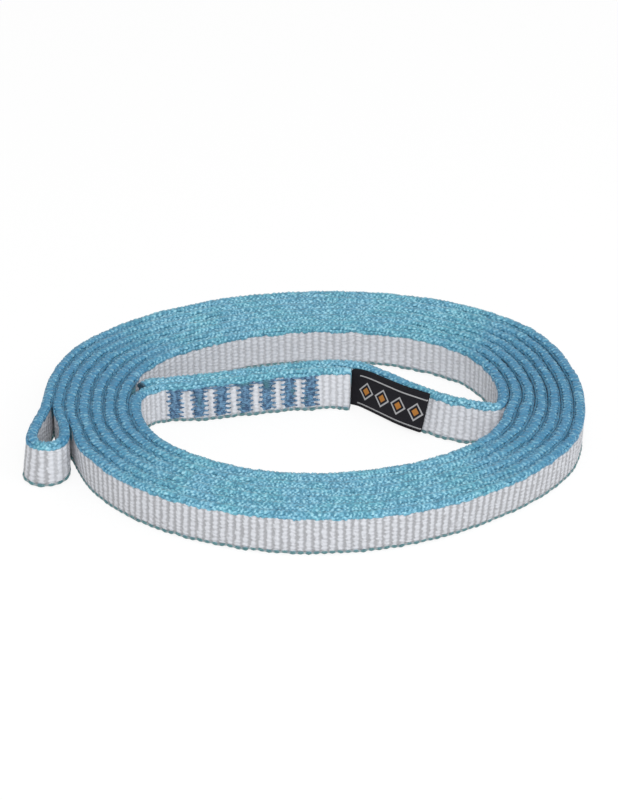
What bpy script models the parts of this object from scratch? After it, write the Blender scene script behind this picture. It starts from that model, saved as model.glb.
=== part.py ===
"""Sewn polyethylene sling, laid double and coiled on its edge.

One narrow woven tape makes the whole sling. Its two cut ends overlap in a splice, seven bar
tacks go through both layers, and a folded label is caught between them by the first tack.
The doubled tape is wound three and a half turns round an open oval: the free strand with the
splice and the label stands inside the oval and comes out of the inner bight, and the outer
bight hangs off the left side. Units are metres, +Z up, with the origin in the middle of the
sling on the surface that it stands on.
"""

import math

import bmesh
import bpy
import numpy as np
from mathutils import Matrix, Vector

# Tape
TAPE_WIDTH = 0.012
TAPE_THICKNESS = 0.0026
EDGE_DEPTH = 0.0011
EDGE_PRESS = 0.0005

# Coil of the doubled tape
HOLLOW_LENGTH = 0.0981
HOLLOW_WIDTH = 0.0693
TURN_GAP = 0.00054
HALF_TURNS = 7
TURN_STATIONS = 36
SLACK_SHARE = 0.12
SLACK_ANGLE = math.radians(32)

# Bights, the two ends of the loop
INNER_EYE_RADIUS = 0.0016
INNER_BIGHT_REACH = 0.0005
OUTER_EYE_RADIUS = 0.0033
OUTER_BIGHT_REACH = 0.019
OUTER_BIGHT_SWING = 0.0012
BIGHT_STATIONS = 8

# Splice
SPLICE_LENGTH = 0.0612
FAR_END_MARGIN = 0.00154
NEAR_TACK_MARGIN = 0.0129
FAR_TACK_MARGIN = 0.0105
SEAM_GAP = 0.00047
SPLICE_STEP = 0.0032
FREE_STEP = 0.0036
BEND_START = 0.0075
BEND_STATIONS = 6

# Bar tacks
TACK_COUNT = 7
TACK_WIDTH = 0.0034
TACK_HEIGHT = 0.0092
TACK_THICKNESS = 0.00055
TACK_SEAT = 0.00045
TACK_TEETH = 7
TOOTH_DEPTH = 0.0006
STITCH_LEGS = 3
STITCH_RADIUS = 0.00042
STITCH_PITCH = 0.0034

# Label
LABEL_LENGTH = 0.0272
LABEL_HEIGHT = 0.011
LABEL_LIFT = 0.0003
LABEL_LEAF = 0.0003
LABEL_FOLD_RADIUS = 0.0005
LABEL_ROOT_TAIL = 0.0003
LABEL_HINGE_REACH = 0.0005
LABEL_SLIT_START = 0.006

# Fits
SEAT_GAP = 0.0003
CUT_OVERRUN = 0.001
TANGENT_STEP = 0.001
WELD_DISTANCE = 0.000001

# Middle of the free strand, from the inner bight to just past the far cut end, in shares
# of half the hollow's length and half its width
FREE_STRAND_SHARES = (
    (0.918, -0.086), (0.814, -0.060), (0.734, -0.018), (0.608, 0.085), (0.508, 0.190),
    (0.422, 0.309), (0.322, 0.450), (0.245, 0.532), (0.126, 0.564), (-0.049, 0.543),
    (-0.271, 0.475), (-0.494, 0.400), (-0.716, 0.337), (-0.960, 0.283), (-0.990, 0.250),
    (-1.010, 0.190),
)
INNER_BIGHT_TURN = math.radians(110)

PITCH = TAPE_THICKNESS + TURN_GAP
TACK_PITCH = (SPLICE_LENGTH - NEAR_TACK_MARGIN - FAR_TACK_MARGIN) / (TACK_COUNT - 1)
ROOT_THICKNESS = 2 * LABEL_LEAF
ROOT_SEAM = ROOT_THICKNESS + 2 * SEAT_GAP
FACE_MIDDLE = (TAPE_WIDTH - EDGE_PRESS) / 2


def clear_scene():
    for thing in list(bpy.data.objects):
        bpy.data.objects.remove(thing, do_unlink=True)


def new_collection(name):
    collection = bpy.data.collections.new(name)
    bpy.context.scene.collection.children.link(collection)
    return collection


def material(name, colour, roughness):
    made = bpy.data.materials.new(name)
    made.use_nodes = True
    shader = made.node_tree.nodes["Principled BSDF"]
    shader.inputs["Base Color"].default_value = (*colour, 1)
    shader.inputs["Roughness"].default_value = roughness
    shader.inputs["Metallic"].default_value = 0
    return made


# Plan geometry of the tape

def coil_point(turn, lane):
    """Middle of one strand; lane 0 is the inner strand of the pair and lane 1 the outer.

    The strands lie a little looser round the back right corner than elsewhere.
    """
    angle = 2 * math.pi * turn
    on_hollow = Vector((HOLLOW_LENGTH / 2 * math.cos(angle), HOLLOW_WIDTH / 2 * math.sin(angle)))
    outward = Vector((HOLLOW_WIDTH * math.cos(angle), HOLLOW_LENGTH * math.sin(angle)))
    slack = 1 + SLACK_SHARE * max(math.cos(angle - SLACK_ANGLE), 0) ** 4
    strands_out = 2 * turn - 1 + lane + 1 / 2
    return on_hollow + outward.normalized() * PITCH * slack * strands_out


def coil_lane(lane, first_turn, last_turn):
    steps = round((last_turn - first_turn) * TURN_STATIONS)
    return [coil_point(first_turn + step / TURN_STATIONS, lane) for step in range(steps + 1)]


def arc(centre, radius, start, sweep, steps):
    angles = [start + sweep * step / steps for step in range(steps + 1)]
    return [centre + radius * Vector((math.cos(a), math.sin(a))) for a in angles]


def bend(start, start_heading, end, end_heading, steps):
    """Inner points of a smooth bend between two places with the headings that it joins."""
    reach = (end - start).length
    points = []
    for step in range(1, steps):
        t = step / steps
        points.append(
            start * (1 - 3 * t ** 2 + 2 * t ** 3)
            + end * (3 * t ** 2 - 2 * t ** 3)
            + start_heading * reach * (t - 2 * t ** 2 + t ** 3)
            + end_heading * reach * (t ** 3 - t ** 2)
        )
    return points


def spline_through(guides, samples):
    """Dense points on a centripetal Catmull-Rom curve through the guide points."""
    ends = [2 * guides[0] - guides[1], *guides, 2 * guides[-1] - guides[-2]]
    dense = []
    for a, b, c, d in zip(ends, ends[1:], ends[2:], ends[3:]):
        ta = 0
        tb = ta + math.sqrt((b - a).length)
        tc = tb + math.sqrt((c - b).length)
        td = tc + math.sqrt((d - c).length)
        for step in range(samples):
            t = tb + (tc - tb) * step / samples
            ab = a.lerp(b, (t - ta) / (tb - ta))
            bc = b.lerp(c, (t - tb) / (tc - tb))
            cd = c.lerp(d, (t - tc) / (td - tc))
            abc = ab.lerp(bc, (t - ta) / (tc - ta))
            bcd = bc.lerp(cd, (t - tb) / (td - tb))
            dense.append(abc.lerp(bcd, (t - tb) / (tc - tb)))
    dense.append(guides[-1])
    return dense


class Spine:
    """The free strand's middle line, read by its length from the inner bight."""

    def __init__(self, points):
        self.points = points
        steps = [(b - a).length for a, b in zip(points, points[1:])]
        self.stations = np.concatenate(([0], np.cumsum(steps)))

    def at(self, station):
        x = np.interp(station, self.stations, [p.x for p in self.points])
        y = np.interp(station, self.stations, [p.y for p in self.points])
        return Vector((x, y))

    def heading(self, station):
        return (self.at(station + TANGENT_STEP) - self.at(station - TANGENT_STEP)).normalized()

    def near_side(self, station):
        """Unit vector from the free strand towards the middle of the hollow."""
        along = self.heading(station)
        return Vector((-along.y, along.x))


def inner_bight():
    start = coil_point(0, 1) - Vector((0, INNER_BIGHT_REACH))
    radius = INNER_EYE_RADIUS + TAPE_THICKNESS / 2
    return arc(start - Vector((radius, 0)), radius, 0, -INNER_BIGHT_TURN, BIGHT_STATIONS // 2)


def outer_bight(turns):
    """From the end of the inner lane, round the loop's eye, to the end of the outer lane."""
    inner, outer = coil_point(turns, 0), coil_point(turns, 1)
    radius = OUTER_EYE_RADIUS + TAPE_THICKNESS / 2
    centre = (inner + outer) / 2 - Vector((OUTER_BIGHT_SWING, OUTER_BIGHT_REACH))
    loop = arc(centre, radius, 0, -math.pi, BIGHT_STATIONS)
    down = Vector((0, -1))
    leg_in = bend(inner, down, loop[0], down, BEND_STATIONS)
    leg_out = bend(loop[-1], -down, outer, -down, BEND_STATIONS)
    return leg_in + loop + leg_out


def free_spine():
    half = Vector((HOLLOW_LENGTH / 2, HOLLOW_WIDTH / 2))
    guides = [Vector((x * half.x, y * half.y)) for x, y in FREE_STRAND_SHARES]
    return Spine(spline_through(inner_bight() + guides, TURN_STATIONS))


def far_end(spine):
    return spine.stations[-1] - FAR_END_MARGIN


def near_end(spine):
    return far_end(spine) - SPLICE_LENGTH


def tack_stations(spine):
    first = near_end(spine) + NEAR_TACK_MARGIN
    return [first + TACK_PITCH * number for number in range(TACK_COUNT)]


def seam(spine, station):
    """Gap between the layers, wider where the label's root lies between them."""
    last_with_label, next_tack = tack_stations(spine)[:2]
    share = (next_tack - station) / (next_tack - last_with_label)
    share = min(max(share, 0), 1)
    return SEAM_GAP + (ROOT_SEAM - SEAM_GAP) * share * share * (3 - 2 * share)


def near_layer(spine, station):
    """Middle of the layer that faces the hollow, beside one station of the free strand."""
    return spine.at(station) + spine.near_side(station) * (TAPE_THICKNESS + seam(spine, station))


def spread(start, end, step):
    count = max(round((end - start) / step), 1)
    return [start + (end - start) * number / count for number in range(count + 1)]


def tape_route(spine):
    turns = HALF_TURNS / 2
    start, end = near_end(spine), far_end(spine)
    near_stations = spread(start, end - BEND_START, SPLICE_STEP)
    free_stations = spread(spine.stations[BIGHT_STATIONS // 2 * TURN_STATIONS], start, FREE_STEP)
    far_stations = spread(start, end, SPLICE_STEP)
    route = [near_layer(spine, station) for station in near_stations]
    lane = coil_lane(0, 1 / 2, turns)
    down = Vector((0, -1))
    route += bend(route[-1], spine.heading(near_stations[-1]), lane[0], down, BEND_STATIONS)
    route += lane + outer_bight(turns) + coil_lane(1, 0, turns)[::-1]
    route += inner_bight()
    route += [spine.at(station) for station in free_stations[1:] + far_stations[1:]]
    return route


def route_length(route):
    return sum((b - a).length for a, b in zip(route, route[1:]))


def least_gap(route):
    """Least clear distance between two stretches of tape, measured from points to segments."""
    points = np.array([p[:] for p in route])
    starts, runs = points[:-1], np.diff(points, axis=0)
    squares = (runs ** 2).sum(axis=1)
    stations = np.concatenate(([0], np.cumsum(np.sqrt(squares))))
    least = math.inf
    for station, point in zip(stations, points):
        share = np.clip(((point - starts) * runs).sum(axis=1) / squares, 0, 1)
        distance = np.linalg.norm(starts + runs * share[:, None] - point, axis=1)
        ahead = np.maximum(stations[:-1] - station, station - stations[1:])
        apart = ahead > math.pi * TAPE_THICKNESS
        least = min(least, distance[apart].min())
    return least - TAPE_THICKNESS


def plan_middle(route):
    """Middle of the tape's outline in plan, which becomes the origin."""
    xs, ys = [p.x for p in route], [p.y for p in route]
    return Vector(((min(xs) + max(xs)) / 2, (min(ys) + max(ys)) / 2))


# Curves and solids

def curve_object(name, outlines, closed, collection):
    data = bpy.data.curves.new(name, "CURVE")
    for outline in outlines:
        line = data.splines.new("POLY")
        line.points.add(len(outline) - 1)
        for point, place in zip(line.points, outline):
            point.co = (place[0], place[1], 0, 1)
        line.use_cyclic_u = closed
    thing = bpy.data.objects.new(name, data)
    collection.objects.link(thing)
    return thing


def plate(name, outlines, thickness, collection):
    """A flat outline with its holes, given a thickness about its own plane."""
    thing = curve_object(name, outlines, True, collection)
    thing.data.dimensions = "2D"
    thing.data.fill_mode = "BOTH"
    thing.data.extrude = thickness / 2
    return solid_from(thing, collection)


def solid_from(curve, collection):
    """The curve's shape as a mesh object with welded caps, in the curve's place."""
    name = curve.name
    depsgraph = bpy.context.evaluated_depsgraph_get()
    mesh = bpy.data.meshes.new_from_object(curve.evaluated_get(depsgraph))
    place = curve.matrix_world.copy()
    bpy.data.objects.remove(curve, do_unlink=True)
    shape = bmesh.new()
    shape.from_mesh(mesh)
    bmesh.ops.remove_doubles(shape, verts=shape.verts, dist=WELD_DISTANCE)
    bmesh.ops.recalc_face_normals(shape, faces=shape.faces)
    shape.to_mesh(mesh)
    shape.free()
    thing = bpy.data.objects.new(name, mesh)
    mesh.name = name
    thing.matrix_world = place
    collection.objects.link(thing)
    return thing


def shaped(thing, other, operation):
    """Joins another solid to this one, or cuts it away, and removes the other."""
    change = thing.modifiers.new(operation.lower(), "BOOLEAN")
    change.operation = operation
    change.object = other
    bpy.context.view_layer.update()
    depsgraph = bpy.context.evaluated_depsgraph_get()
    mesh = bpy.data.meshes.new_from_object(thing.evaluated_get(depsgraph))
    thing.modifiers.clear()
    thing.data = mesh
    mesh.name = thing.name
    bpy.data.objects.remove(other, do_unlink=True)


def solid_group(name, shape, collection):
    mesh = bpy.data.meshes.new(name)
    shape.to_mesh(mesh)
    shape.free()
    thing = bpy.data.objects.new(name, mesh)
    collection.objects.link(thing)
    return thing


# Tape

def tape_profile():
    """Across the tape: rounded top edge, flat faces, and a lower edge pressed flat."""
    half = TAPE_THICKNESS / 2
    top = [
        (half * math.cos(angle), TAPE_WIDTH - EDGE_DEPTH + EDGE_DEPTH * math.sin(angle))
        for angle in (math.pi * step / 4 for step in range(5))
    ]
    shoulder = EDGE_DEPTH - EDGE_PRESS
    flat = half * math.sqrt(1 - (shoulder / EDGE_DEPTH) ** 2)
    return top + [(-half, shoulder), (-flat, 0), (flat, 0), (half, shoulder)]


def webbing(route, parts, guides):
    profile = curve_object("tape_profile", [tape_profile()], True, guides)
    profile.data.dimensions = "2D"
    tape = curve_object("sling_webbing", [route], False, parts)
    tape.data.dimensions = "3D"
    tape.data.twist_mode = "Z_UP"
    tape.data.bevel_mode = "OBJECT"
    tape.data.bevel_object = profile
    tape.data.use_fill_caps = True
    tape = solid_from(tape, parts)
    bpy.data.objects.remove(profile, do_unlink=True)
    return tape


# Bar tacks

def tack_frame(spine, station):
    """Place of one bar tack: its middle lies in the seam and its local Z faces the hollow."""
    near = spine.near_side(station)
    across = TAPE_THICKNESS / 2 + seam(spine, station) / 2
    middle = spine.at(station) + near * across
    right = -spine.heading(station)
    axes = Matrix(((right.x, 0, near.x), (right.y, 0, near.y), (0, 1, 0))).to_4x4()
    return Matrix.Translation((middle.x, middle.y, FACE_MIDDLE)) @ axes


def face_reach(spine, station):
    """From the middle of the seam to the tape's face on either side."""
    return TAPE_THICKNESS + seam(spine, station) / 2


def tack_outline():
    """Rows of zigzag stitches end in teeth, set half a tooth apart on the two sides."""
    pitch = TACK_HEIGHT / (TACK_TEETH + 1 / 2)
    half, valley, low = TACK_WIDTH / 2, TACK_WIDTH / 2 - TOOTH_DEPTH, -TACK_HEIGHT / 2
    right, left = [(valley, low)], [(-valley, low + pitch / 2)]
    for tooth in range(TACK_TEETH):
        right += [(half, low + pitch * (tooth + 1 / 2)), (valley, low + pitch * (tooth + 1))]
        left += [(-half, low + pitch * (tooth + 1)), (-valley, low + pitch * (tooth + 3 / 2))]
    return right + left[::-1]


def leg_heights():
    middle = (STITCH_LEGS - 1) / 2
    return [STITCH_PITCH * (number - middle) for number in range(STITCH_LEGS)]


def add_legs(shape, place, radius, depth):
    for height in leg_heights():
        bmesh.ops.create_cone(
            shape, cap_ends=True, segments=6, radius1=radius, radius2=radius, depth=depth,
            matrix=place @ Matrix.Translation((0, height, 0)),
        )


def bar_tack(name, spine, station, parts):
    offset = face_reach(spine, station) - TACK_SEAT + SEAT_GAP + TACK_THICKNESS / 2
    near_pad = plate(name, [tack_outline()], TACK_THICKNESS, parts)
    far_pad = plate("far_pad", [tack_outline()], TACK_THICKNESS, parts)
    near_pad.data.transform(Matrix.Translation((0, 0, offset)))
    far_pad.data.transform(Matrix.Translation((0, 0, -offset)))
    legs = bmesh.new()
    add_legs(legs, Matrix(), STITCH_RADIUS, 2 * offset)
    shaped(near_pad, far_pad, "UNION")
    shaped(near_pad, solid_group("legs", legs, parts), "UNION")
    near_pad.matrix_world = tack_frame(spine, station)
    return near_pad


def seat_cutter(spine, guides):
    """The hollows that the stitches pull into the two outer faces of the splice."""
    shape = bmesh.new()
    size = (TACK_WIDTH + 2 * SEAT_GAP, TACK_HEIGHT + 2 * SEAT_GAP, TACK_SEAT + CUT_OVERRUN)
    for station in tack_stations(spine):
        reach = face_reach(spine, station) - TACK_SEAT + size[2] / 2
        for side in (-1, 1):
            place = tack_frame(spine, station) @ Matrix.Translation((0, 0, side * reach))
            bmesh.ops.create_cube(shape, size=1, matrix=place @ Matrix.Diagonal((*size, 1)))
    return solid_group("seat_cutter", shape, guides)


def leg_cutter(spine, stations, guides):
    shape = bmesh.new()
    for station in stations:
        depth = 2 * (face_reach(spine, station) + CUT_OVERRUN)
        add_legs(shape, tack_frame(spine, station), STITCH_RADIUS + SEAT_GAP, depth)
    return solid_group("leg_cutter", shape, guides)


# Label

def hinge_place(spine):
    """Where the label comes out between the layers, just past the near cut end."""
    station = near_end(spine) - LABEL_HINGE_REACH
    return spine.at(station) + spine.near_side(station) * (TAPE_THICKNESS + ROOT_SEAM) / 2


def label_root(spine, parts):
    """The label's sewn ends, pressed together between the layers under the first tack."""
    start = near_end(spine) - LABEL_HINGE_REACH + LABEL_LEAF + SEAT_GAP
    end = tack_stations(spine)[0] + TACK_WIDTH / 2 + LABEL_ROOT_TAIL
    near, far = [], []
    for station in spread(start, end, SPLICE_STEP / 2):
        middle = TAPE_THICKNESS / 2 + max(seam(spine, station), ROOT_THICKNESS) / 2
        normal, place = spine.near_side(station), spine.at(station)
        near.append(place + normal * (middle + LABEL_LEAF))
        far.append(place + normal * (middle - LABEL_LEAF))
    root = plate("label_root", [near + far[::-1]], LABEL_HEIGHT, parts)
    root.location.z = LABEL_LIFT + LABEL_HEIGHT / 2
    return root


def label_half_thickness(reach):
    return LABEL_LEAF + (LABEL_FOLD_RADIUS - LABEL_LEAF) * min(reach / LABEL_LENGTH, 1)


def label_heading(spine):
    """Angle at which the stiff flap just clears the curved face of the strand beside it."""
    hinge = hinge_place(spine)
    angles = []
    for station in np.arange(0, near_end(spine), TANGENT_STEP):
        face = spine.at(station) + spine.near_side(station) * TAPE_THICKNESS / 2
        sight = face - hinge
        clear = label_half_thickness(sight.length) + SEAT_GAP
        if clear < sight.length < LABEL_LENGTH and sight.x > 0:
            angles.append(math.atan2(sight.y, sight.x) - math.asin(clear / sight.length))
    return min(angles)


def label_flap(spine, parts):
    """The label's loose part: two leaves that meet in an open fold at its free end."""
    fold = Vector((LABEL_LENGTH - LABEL_FOLD_RADIUS, 0))
    outline = arc(Vector((0, 0)), LABEL_LEAF, math.pi / 2, math.pi, 4)
    outline += arc(fold, LABEL_FOLD_RADIUS, -math.pi / 2, math.pi, 6)
    slit = [Vector((LABEL_SLIT_START, 0))]
    slit += arc(fold, LABEL_FOLD_RADIUS - LABEL_LEAF, -math.pi / 2, math.pi, 6)
    flap = plate("label_flap", [outline, slit], LABEL_HEIGHT, parts)
    hinge = hinge_place(spine)
    flap.location = (hinge.x, hinge.y, LABEL_LIFT + LABEL_HEIGHT / 2)
    flap.rotation_euler.z = label_heading(spine)
    return flap


def build():
    clear_scene()
    parts, guides = new_collection("polyethylene_sling"), new_collection("guides")
    spine = free_spine()
    route = tape_route(spine)
    stations = tack_stations(spine)

    tape = webbing(route, parts, guides)
    shaped(tape, seat_cutter(spine, guides), "DIFFERENCE")
    shaped(tape, leg_cutter(spine, stations, guides), "DIFFERENCE")
    root = label_root(spine, parts)
    shaped(root, leg_cutter(spine, stations[:1], guides), "DIFFERENCE")
    flap = label_flap(spine, parts)
    tacks = [
        bar_tack(f"bar_tack_{number}", spine, station, parts)
        for number, station in enumerate(stations, 1)
    ]

    tape.data.materials.append(material("woven_polyethylene", (0.55, 0.70, 0.76), 0.75))
    label_cloth = material("black_label_cloth", (0.015, 0.015, 0.018), 0.85)
    for piece in (root, flap):
        piece.data.materials.append(label_cloth.copy())
    for tack in tacks:
        tack.data.materials.append(material("tack_thread", (0.05, 0.17, 0.36), 0.6))

    middle = plan_middle(route)
    origin = bpy.data.objects.new("sling_origin", None)
    origin.location = (-middle.x, -middle.y, 0)
    parts.objects.link(origin)
    for piece in (tape, root, flap, *tacks):
        piece.parent = origin
    bpy.context.view_layer.update()

    hinge = hinge_place(spine) - middle
    print(f"tape {route_length(route):.3f} m, laid double {route_length(route) / 2:.3f} m")
    print(f"least gap of the tape to itself {least_gap(route) * 1000:.2f} mm")
    print(f"label hinge at {hinge.x:.5f} {hinge.y:.5f}, heading {label_heading(spine):.3f}")


build()
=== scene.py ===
"""Looks of a coiled polyethylene sling, laid out as an add-on and run as a script.

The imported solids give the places. The tape's middle line is worked out again from the sling's own
sizes, and the white woven body, the blue edge yarns, the bar tack threads and the label are made
along it. Lengths are metres.
"""

import math

import bmesh
import bpy
import numpy as np
from bpy.props import FloatProperty, FloatVectorProperty, IntProperty, PointerProperty
from bpy.types import Operator, Panel, PropertyGroup
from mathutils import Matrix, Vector
from mathutils.kdtree import KDTree


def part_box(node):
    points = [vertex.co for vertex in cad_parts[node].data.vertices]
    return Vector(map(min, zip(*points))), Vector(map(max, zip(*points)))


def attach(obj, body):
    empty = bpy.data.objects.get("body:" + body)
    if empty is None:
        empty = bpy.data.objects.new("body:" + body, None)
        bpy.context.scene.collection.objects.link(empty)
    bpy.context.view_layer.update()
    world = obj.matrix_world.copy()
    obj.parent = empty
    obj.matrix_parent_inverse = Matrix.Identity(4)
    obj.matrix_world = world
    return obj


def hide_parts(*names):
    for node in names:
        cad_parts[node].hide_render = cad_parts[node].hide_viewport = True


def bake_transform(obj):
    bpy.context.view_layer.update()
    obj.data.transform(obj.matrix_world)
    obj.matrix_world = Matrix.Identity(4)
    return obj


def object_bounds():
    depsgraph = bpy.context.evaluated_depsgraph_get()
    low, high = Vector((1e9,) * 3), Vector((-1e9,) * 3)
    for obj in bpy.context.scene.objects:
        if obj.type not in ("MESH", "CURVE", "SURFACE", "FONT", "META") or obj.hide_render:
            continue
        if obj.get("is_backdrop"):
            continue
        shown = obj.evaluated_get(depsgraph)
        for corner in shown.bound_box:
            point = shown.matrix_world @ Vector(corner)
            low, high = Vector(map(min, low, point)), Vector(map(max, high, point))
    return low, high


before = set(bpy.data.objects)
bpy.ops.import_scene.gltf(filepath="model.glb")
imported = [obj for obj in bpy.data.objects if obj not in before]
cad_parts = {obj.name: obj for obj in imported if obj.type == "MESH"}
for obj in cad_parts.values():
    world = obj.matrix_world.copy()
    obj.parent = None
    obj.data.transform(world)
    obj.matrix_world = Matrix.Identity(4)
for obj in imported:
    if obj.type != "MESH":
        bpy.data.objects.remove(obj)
CAD_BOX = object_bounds()

bl_info = {
    "name": "Coiled Sling",
    "version": (1, 0, 0),
    "blender": (4, 5, 0),
    "location": "3D View > Sidebar > Sling",
    "description": "Woven tape, bar tacks, label and stage for a coiled sling",
    "category": "Object",
}

# Coil of the doubled tape
HOLLOW_LENGTH = 0.0981
HOLLOW_WIDTH = 0.0693
HALF_HOLLOW = np.array((HOLLOW_LENGTH, HOLLOW_WIDTH)) / 2
TURN_GAP = 0.00054
HALF_TURNS = 7
TURN_STATIONS = 36
SLACK_SHARE = 0.12
SLACK_SHARPNESS = 4
SLACK_ANGLE = math.radians(32)

# Bights, the two ends of the loop
INNER_EYE_RADIUS = 0.0016
INNER_BIGHT_REACH = 0.0005
INNER_BIGHT_TURN = math.radians(110)
OUTER_EYE_RADIUS = 0.0033
OUTER_BIGHT_REACH = 0.019
OUTER_BIGHT_SWING = 0.0012
BIGHT_STATIONS = 8

# Splice
SPLICE_LENGTH = 0.0612
FAR_END_MARGIN = 0.00154
NEAR_TACK_MARGIN = 0.0129
TACK_COUNT = 7
TACK_PITCH = 0.0063
SEAM_GAP = 0.00047
ROOT_SEAM = 0.0012
SPLICE_STEP = 0.0032
FREE_STEP = 0.0036
BEND_START = 0.0075
BEND_STATIONS = 6
TANGENT_STEP = 0.001

# Middle of the free strand, from the inner bight to just past the far cut end, in shares
# of half the hollow's length and half its width
FREE_STRAND_SHARES = (
    (0.918, -0.086), (0.814, -0.060), (0.734, -0.018), (0.608, 0.085), (0.508, 0.190),
    (0.422, 0.309), (0.322, 0.450), (0.245, 0.532), (0.126, 0.564), (-0.049, 0.543),
    (-0.271, 0.475), (-0.494, 0.400), (-0.716, 0.337), (-0.960, 0.283), (-0.990, 0.250),
    (-1.010, 0.190),
)


def size_setting(name, description, default):
    return FloatProperty(
        name=name, description=description, default=default, subtype="DISTANCE", precision=5)


def colour_setting(name, description, default):
    return FloatVectorProperty(name=name, description=description, default=default, subtype="COLOR")


class TapeSettings(PropertyGroup):
    width: size_setting("Width", "Across the tape, which stands on its edge", 0.012)
    thickness: size_setting("Thickness", "From face to face, between the ribs", 0.0026)
    rib_pitch: size_setting("Rib pitch", "From one cross rib of the weave to the next", 0.0020)
    rib_height: size_setting("Rib height", "How far the ribs stand up from the face", 0.00026)
    rib_colour: colour_setting("Rib", "White yarn on the ribs", (0.655, 0.672, 0.715))
    # Painted shade in the hollows between the ribs
    valley_shade_colour: colour_setting("Between ribs", "White yarn between the ribs", (0.355, 0.36, 0.38))
    edge_colour: colour_setting("Edge yarn", "Main colour of the edge yarns", (0.139, 0.385, 0.540))
    edge_colour_green: colour_setting(
        "Edge yarn, greener", "Edge yarns where they are greener", (0.121, 0.395, 0.502))
    # Painted highlight where an edge yarn floats on the surface
    float_highlight_colour: colour_setting(
        "Edge fleck", "Where an edge yarn comes to the surface", (0.32, 0.63, 0.74))
    shade_colour: colour_setting(
        "Edge shade", "Where an edge yarn dives into the weave", (0.055, 0.220, 0.325))
    # Painted shade on edge yarns that run front to back and face away from the light
    lengthways_shade_colour: colour_setting(
        "Edge, seen lengthways", "Edge yarns that run front to back", (0.030, 0.185, 0.355))
    # Painted shade on edge yarns deep between two strands
    seam_shade_colour: colour_setting(
        "Edge seam", "Edge yarns deep between two strands", (0.032, 0.155, 0.265))
    # Painted shade on the lower edge yarns, near the floor under the sling
    foot_shade_colour: colour_setting(
        "Lower edge", "Duller yarns that the sling stands on", (0.070, 0.185, 0.20))


class StitchSettings(PropertyGroup):
    radius: size_setting("Thread radius", "Half the thickness of the sewing thread", 0.0002)
    rows: IntProperty(
        name="Rows", description="Rows of zigzag thread on each bar tack", default=29, min=8)
    colour: colour_setting("Thread", "Thread where it catches the light", (0.145, 0.305, 0.475))
    dark: colour_setting("Thread, dark", "Thread between its filaments", (0.028, 0.080, 0.165))
    green: colour_setting("Thread, green", "Thread where it is greener", (0.05, 0.17, 0.22))


class LabelSettings(PropertyGroup):
    thickness: size_setting("Leaf", "Thickness of one leaf of the folded label", 0.0003)
    colour: colour_setting("Cloth", "Cloth of the label", (0.009, 0.009, 0.012))
    worn_colour: colour_setting("Worn cloth", "Cloth where the label is rubbed", (0.016, 0.015, 0.019))
    line_colour: colour_setting("Lines", "Woven lines and diamonds", (0.52, 0.52, 0.53))
    spot_colour: colour_setting("Diamonds", "Inside of the woven diamonds", (0.56, 0.23, 0.045))


class StageSettings(PropertyGroup):
    distance: size_setting("Camera distance", "From the camera to the middle of its view", 0.731)
    elevation: FloatProperty(
        name="Camera elevation", description="How far the camera looks down",
        default=math.radians(33), subtype="ANGLE")
    lens: FloatProperty(
        name="Lens", description="Focal length for a sensor 36 mm high", default=122.05,
        unit="CAMERA")


# Plan geometry of the tape

def eased(share):
    """A share from 0 to 1 that starts and ends level."""
    return share * share * (3 - 2 * share)


def coil_point(turn, lane):
    """Middle of one strand; lane 0 is the inner strand of the pair and lane 1 the outer.

    The strands lie a little looser round the back right corner than elsewhere.
    """
    pitch = bpy.context.scene.sling_tape.thickness + TURN_GAP
    angle = math.tau * turn
    on_hollow = Vector((HOLLOW_LENGTH / 2 * math.cos(angle), HOLLOW_WIDTH / 2 * math.sin(angle)))
    outward = Vector((HOLLOW_WIDTH * math.cos(angle), HOLLOW_LENGTH * math.sin(angle)))
    slack = 1 + SLACK_SHARE * max(math.cos(angle - SLACK_ANGLE), 0) ** SLACK_SHARPNESS
    strands_out = 2 * turn - 1 + lane + 1 / 2
    return on_hollow + outward.normalized() * pitch * slack * strands_out


def coil_lane(lane, first_turn, last_turn):
    """One lane of the coil, from one turn to another, counted from the right."""
    steps = round((last_turn - first_turn) * TURN_STATIONS)
    return [coil_point(first_turn + step / TURN_STATIONS, lane) for step in range(steps + 1)]


def arc(centre, radius, start, sweep, steps):
    angles = [start + sweep * step / steps for step in range(steps + 1)]
    return [centre + radius * Vector((math.cos(a), math.sin(a))) for a in angles]


def bend(start, start_heading, end, end_heading, steps):
    """Inner points of a smooth bend between two places with the headings that it joins."""
    reach = (end - start).length
    points = []
    for share in (step / steps for step in range(1, steps)):
        ahead = start_heading * share * (1 - share) ** 2 - end_heading * share ** 2 * (1 - share)
        points.append(start.lerp(end, eased(share)) + ahead * reach)
    return points


def spline_through(guides, samples):
    """Dense points on a centripetal Catmull-Rom curve through the guide points."""
    ends = [2 * guides[0] - guides[1], *guides, 2 * guides[-1] - guides[-2]]
    dense = []
    for a, b, c, d in zip(ends, ends[1:], ends[2:], ends[3:]):
        tb = math.sqrt((b - a).length)
        tc = tb + math.sqrt((c - b).length)
        td = tc + math.sqrt((d - c).length)
        for step in range(samples):
            t = tb + (tc - tb) * step / samples
            ab = a.lerp(b, t / tb)
            bc = b.lerp(c, (t - tb) / (tc - tb))
            cd = c.lerp(d, (t - tc) / (td - tc))
            dense.append(ab.lerp(bc, t / tc).lerp(bc.lerp(cd, (t - tb) / (td - tb)), (t - tb) / (tc - tb)))
    dense.append(guides[-1])
    return dense


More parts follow.
